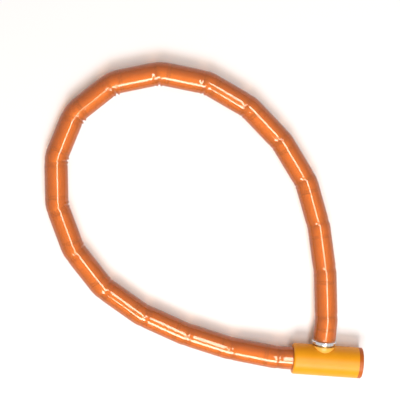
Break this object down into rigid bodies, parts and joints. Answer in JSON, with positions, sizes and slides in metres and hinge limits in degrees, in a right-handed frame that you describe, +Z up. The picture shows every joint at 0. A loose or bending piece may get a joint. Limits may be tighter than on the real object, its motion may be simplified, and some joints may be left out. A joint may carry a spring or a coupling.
{
  "type": "armoured cable lock",
  "caption": "Armoured cable lock: steel barrels with ball joints under a clear orange sleeve, closed in a loop by a small round key lock.",
  "frame": {"origin": "bottom centre of the bounding box, on the surface that the lock lies on", "axes": "+X along the lock's centre line towards its key end, +Y the way the bolt pulls out of the lock, +Z up from the surface the loop lies on"},
  "size_m": [0.317, 0.2863, 0.0295],
  "materials": {
    "sleeve_plastic": "clear tinted, glossy",
    "barrel_steel": "turned",
    "cover_plastic": "satin",
    "cap_plastic": "satin",
    "collar_chrome": "polished",
    "hard_steel": "ground",
    "cylinder_brass": "turned",
    "body_zinc": "cast",
    "wiper_rubber": "matt",
    "rope_wire": "drawn wire"
  },
  "bodies": {
    "housing": {"housing_cover": "cover_plastic", "end_cap": "cap_plastic", "lock_body": "body_zinc", "mouth_bush": "cover_plastic", "bore_wiper": "wiper_rubber", "cylinder_shell": "cylinder_brass", "driver_pins": "cylinder_brass", "pin_springs": "rope_wire", "spring_cover": "hard_steel", "body_screws": "hard_steel", "fixed_ferrule": "barrel_steel", "anchor_pin": "hard_steel", "sleeve_00": "sleeve_plastic", "sleeve_bends": "sleeve_plastic", "core_rope": "rope_wire"},
    "plug": {"plug": "cylinder_brass", "crank_pin": "hard_steel", "plug_clip": "hard_steel", "key_pins": "cylinder_brass"},
    "latch": {"latch": "hard_steel"},
    "link_01": {"barrel_01": "barrel_steel", "sleeve_01": "sleeve_plastic"},
    "link_02": {"barrel_02": "barrel_steel", "sleeve_02": "sleeve_plastic"},
    "link_03": {"barrel_03": "barrel_steel", "sleeve_03": "sleeve_plastic"},
    "link_04": {"barrel_04": "barrel_steel", "sleeve_04": "sleeve_plastic"},
    "link_05": {"barrel_05": "barrel_steel", "sleeve_05": "sleeve_plastic"},
    "link_06": {"barrel_06": "barrel_steel", "sleeve_06": "sleeve_plastic"},
    "link_07": {"barrel_07": "barrel_steel", "sleeve_07": "sleeve_plastic"},
    "link_08": {"barrel_08": "barrel_steel", "sleeve_08": "sleeve_plastic"},
    "link_09": {"barrel_09": "barrel_steel", "sleeve_09": "sleeve_plastic"},
    "link_10": {"barrel_10": "barrel_steel", "sleeve_10": "sleeve_plastic"},
    "link_11": {"barrel_11": "barrel_steel", "sleeve_11": "sleeve_plastic"},
    "link_12": {"barrel_12": "barrel_steel", "sleeve_12": "sleeve_plastic"},
    "link_13": {"barrel_13": "barrel_steel", "sleeve_13": "sleeve_plastic"},
    "link_14": {"barrel_14": "barrel_steel", "sleeve_14": "sleeve_plastic"},
    "link_15": {"barrel_15": "barrel_steel", "sleeve_15": "sleeve_plastic"},
    "link_16": {"barrel_16": "barrel_steel", "sleeve_16": "sleeve_plastic"},
    "link_17": {"barrel_17": "barrel_steel", "sleeve_17": "sleeve_plastic"},
    "tip": {"tip_ferrule": "barrel_steel", "tip_collar": "collar_chrome", "lock_bolt": "hard_steel", "tip_pin": "hard_steel", "sleeve_18": "sleeve_plastic"}
  },
  "joints": [
    {"name": "bolt_slide", "type": "slide", "parent": "housing", "child": "tip", "axis": [0, 1, 0], "range_m": [0, 0.08], "deforming": ["core_rope", "sleeve_bends"]},
    {"name": "fold_01", "type": "hinge", "parent": "housing", "child": "link_01", "pos_m": [0.07395, -0.1284, 0.01475], "axis": [0, 0, 1], "range_deg": [-12.43, 0]},
    {"name": "fold_02", "type": "hinge", "parent": "link_01", "child": "link_02", "pos_m": [0.02936, -0.12373, 0.011], "axis": [0, 0, 1], "range_deg": [-1.92, 0]},
    {"name": "fold_03", "type": "hinge", "parent": "link_02", "child": "link_03", "pos_m": [-0.01431, -0.11286, 0.011], "axis": [0, 0, 1], "range_deg": [0, 1.84]},
    {"name": "fold_04", "type": "hinge", "parent": "link_03", "child": "link_04", "pos_m": [-0.05646, -0.09708, 0.011], "axis": [0, 0, 1], "range_deg": [0, 3.36]},
    {"name": "fold_05", "type": "hinge", "parent": "link_04", "child": "link_05", "pos_m": [-0.09479, -0.07352, 0.011], "axis": [0, 0, 1], "range_deg": [0, 2.27]},
    {"name": "fold_06", "type": "hinge", "parent": "link_05", "child": "link_06", "pos_m": [-0.12481, -0.03999, 0.011], "axis": [0, 0, 1], "range_deg": [0, 6.52]},
    {"name": "fold_07", "type": "hinge", "parent": "link_06", "child": "link_07", "pos_m": [-0.14328, 0.00105, 0.011], "axis": [0, 0, 1], "range_deg": [0, 2.18]},
    {"name": "fold_08", "type": "hinge", "parent": "link_07", "child": "link_08", "pos_m": [-0.1473, 0.04587, 0.011], "axis": [0, 0, 1], "range_deg": [0, 6.79]},
    {"name": "fold_09", "type": "hinge", "parent": "link_08", "child": "link_09", "pos_m": [-0.1334, 0.08867, 0.011], "axis": [0, 0, 1], "range_deg": [0, 1.57]},
    {"name": "fold_18", "type": "hinge", "parent": "tip", "child": "link_17", "pos_m": [0.12045, -0.08865, 0.01475], "axis": [0, 0, 1], "range_deg": [-13.18, 0]},
    {"name": "fold_17", "type": "hinge", "parent": "link_17", "child": "link_16", "pos_m": [0.11542, -0.04409, 0.011], "axis": [0, 0, 1], "range_deg": [0, 2.64]},
    {"name": "fold_16", "type": "hinge", "parent": "link_16", "child": "link_15", "pos_m": [0.105, -0.00031, 0.011], "axis": [0, 0, 1], "range_deg": [0, 16.04]},
    {"name": "fold_15", "type": "hinge", "parent": "link_15", "child": "link_14", "pos_m": [0.08862, 0.0416, 0.011], "axis": [0, 0, 1], "range_deg": [0, 2.12]},
    {"name": "fold_14", "type": "hinge", "parent": "link_14", "child": "link_13", "pos_m": [0.06198, 0.07787, 0.011], "axis": [0, 0, 1], "range_deg": [0, 1.84]},
    {"name": "fold_13", "type": "hinge", "parent": "link_13", "child": "link_12", "pos_m": [0.02814, 0.10752, 0.011], "axis": [0, 0, 1], "range_deg": [0, 1.44]},
    {"name": "fold_12", "type": "hinge", "parent": "link_12", "child": "link_11", "pos_m": [-0.01257, 0.12671, 0.011], "axis": [0, 0, 1], "range_deg": [0, 1.53]},
    {"name": "fold_11", "type": "hinge", "parent": "link_11", "child": "link_10", "pos_m": [-0.05726, 0.13196, 0.011], "axis": [0, 0, 1], "range_deg": [-2.27, 0]},
    {"name": "plug_turn", "type": "hinge", "parent": "housing", "child": "plug", "pos_m": [0.1304, -0.1284, 0.01475], "axis": [1, 0, 0], "range_deg": [-90, 0]},
    {"name": "latch_slide", "type": "slide", "parent": "housing", "child": "latch", "axis": [0, 0, 1], "range_m": [-0.00301, 0]}
  ],
  "couplings": [
    {"joint": "fold_01", "follows": "bolt_slide", "rad_per_m": -2.7054},
    {"joint": "fold_02", "follows": "bolt_slide", "rad_per_m": -0.41248},
    {"joint": "fold_03", "follows": "bolt_slide", "rad_per_m": 0.39591},
    {"joint": "fold_04", "follows": "bolt_slide", "rad_per_m": 0.72746},
    {"joint": "fold_05", "follows": "bolt_slide", "rad_per_m": 0.49087},
    {"joint": "fold_06", "follows": "bolt_slide", "rad_per_m": 1.4176},
    {"joint": "fold_07", "follows": "bolt_slide", "rad_per_m": 0.46959},
    {"joint": "fold_08", "follows": "bolt_slide", "rad_per_m": 1.4759},
    {"joint": "fold_09", "follows": "bolt_slide", "rad_per_m": 0.33716},
    {"joint": "fold_18", "follows": "bolt_slide", "rad_per_m": -2.8693},
    {"joint": "fold_17", "follows": "bolt_slide", "rad_per_m": 0.5708},
    {"joint": "fold_16", "follows": "bolt_slide", "rad_per_m": 3.4935},
    {"joint": "fold_15", "follows": "bolt_slide", "rad_per_m": 0.45729},
    {"joint": "fold_14", "follows": "bolt_slide", "rad_per_m": 0.39666},
    {"joint": "fold_13", "follows": "bolt_slide", "rad_per_m": 0.30892},
    {"joint": "fold_12", "follows": "bolt_slide", "rad_per_m": 0.32903},
    {"joint": "fold_11", "follows": "bolt_slide", "rad_per_m": -0.49027},
    {"joint": "latch_slide", "follows": "plug_turn", "m_per_rad": 0.0019099}
  ]
}
